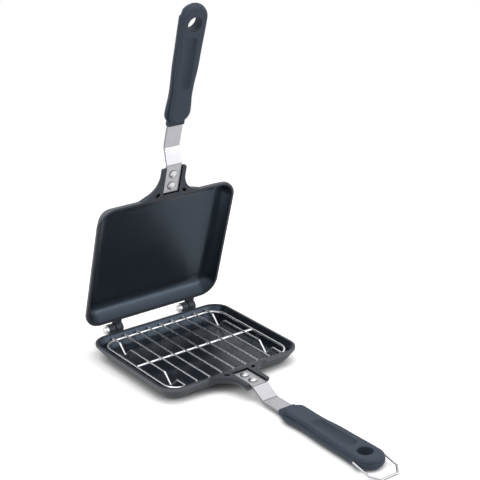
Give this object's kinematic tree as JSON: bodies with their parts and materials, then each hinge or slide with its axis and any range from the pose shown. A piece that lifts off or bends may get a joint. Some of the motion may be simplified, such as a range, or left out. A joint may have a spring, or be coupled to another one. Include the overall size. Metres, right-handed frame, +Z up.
{
  "type": "pie iron",
  "caption": "Hinged pie iron: shallow non-stick trays on a pin hinge, long joggled handles with moulded grips, a wire rack in the lower tray and a wire bail that latches the handles.",
  "frame": {"origin": "centre of the lower tray's flat underside, on the surface it stands on", "axes": "+Z up; +X along the hinge line; the handles point along -Y and the hinge is on the +Y side"},
  "size_m": [0.15, 0.3532, 0.3363],
  "materials": {
    "coated_casting": "satin",
    "handle_steel": "satin",
    "rivet_aluminium": "satin",
    "grip_phenolic": "matte",
    "pin_steel": "polished",
    "plated_wire": "polished"
  },
  "bodies": {
    "root": {"lower_tray": "coated_casting", "lower_handle_strip": "handle_steel", "lower_rear_rivet": "rivet_aluminium", "lower_front_rivet": "rivet_aluminium", "lower_grip": "grip_phenolic", "left_hinge_pin": "pin_steel", "right_hinge_pin": "pin_steel"},
    "lid": {"upper_tray": "coated_casting", "upper_handle_strip": "handle_steel", "upper_rear_rivet": "rivet_aluminium", "upper_front_rivet": "rivet_aluminium", "upper_grip": "grip_phenolic"},
    "rack": {"rack_frame": "plated_wire", "rack_centre_bar": "plated_wire", "rack_bar_1": "plated_wire", "rack_bar_2": "plated_wire", "rack_bar_3": "plated_wire", "rack_bar_4": "plated_wire", "rack_bar_5": "plated_wire", "rack_bar_6": "plated_wire", "rack_bar_7": "plated_wire", "rack_left_foot_wire": "plated_wire", "rack_right_foot_wire": "plated_wire"},
    "bail": {"latch_bail": "plated_wire"}
  },
  "joints": [
    {"name": "lid_hinge", "type": "hinge", "parent": "root", "child": "lid", "pos_m": [0, 0.0756, 0.01565], "axis": [-1, 0, 0], "range_deg": [-72.6, 107.4]},
    {"name": "rack_lift", "type": "slide", "parent": "root", "child": "rack", "axis": [0, 0, 1], "range_m": [0, 0.006]},
    {"name": "bail_swing", "type": "hinge", "parent": "root", "child": "bail", "pos_m": [0, -0.2415, 0.0062], "axis": [-1, 0, 0], "range_deg": [-147, 85.8]}
  ]
}
